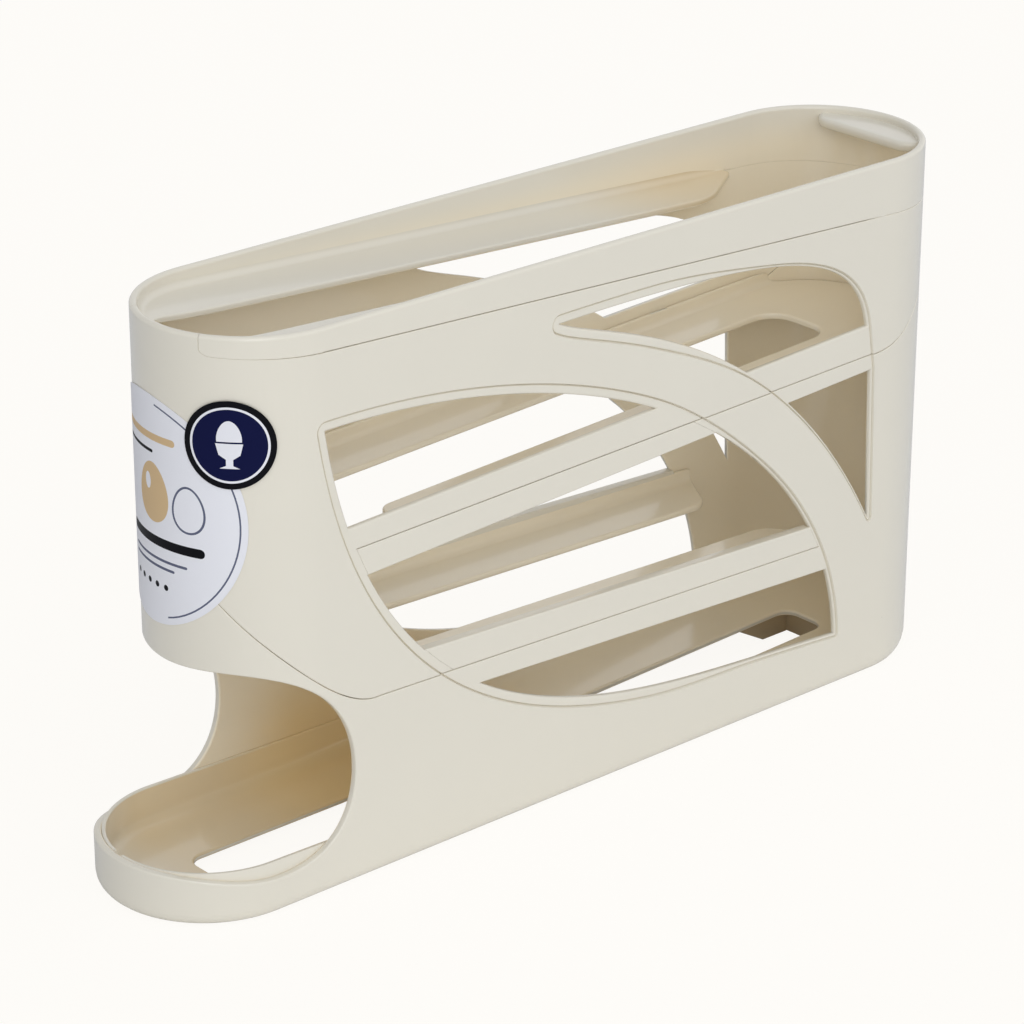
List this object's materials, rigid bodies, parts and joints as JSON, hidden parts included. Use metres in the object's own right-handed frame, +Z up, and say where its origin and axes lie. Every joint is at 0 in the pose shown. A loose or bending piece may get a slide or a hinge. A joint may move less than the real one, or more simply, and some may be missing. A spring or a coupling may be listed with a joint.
{
  "type": "rolling egg dispenser",
  "caption": "Tall narrow egg dispenser with sloped tracks between leaf-shaped windows, a lift-off upper half and an open tray at the front where the eggs roll out.",
  "frame": {"origin": "centre of the footprint on the surface that it stands on", "axes": "+Z up, -Y towards the open tray, +Y towards the back, X across the width"},
  "size_m": [0.08, 0.374, 0.2084],
  "materials": {
    "cream_plastic": "smooth glossy moulded cream plastic",
    "pale_label": null,
    "dark_label": "satin dark blue sticker with a pale ring"
  },
  "bodies": {
    "lower": {"lower_shell": "cream_plastic", "third_track": "cream_plastic", "base_track": "cream_plastic"},
    "upper": {"upper_shell": "cream_plastic", "top_track": "cream_plastic", "second_track": "cream_plastic", "front_label": "pale_label", "round_label": "dark_label"}
  },
  "joints": [
    {"name": "upper_lift", "type": "slide", "parent": "lower", "child": "upper", "axis": [0, 0, 1], "range_m": [0, 0.1]}
  ]
}
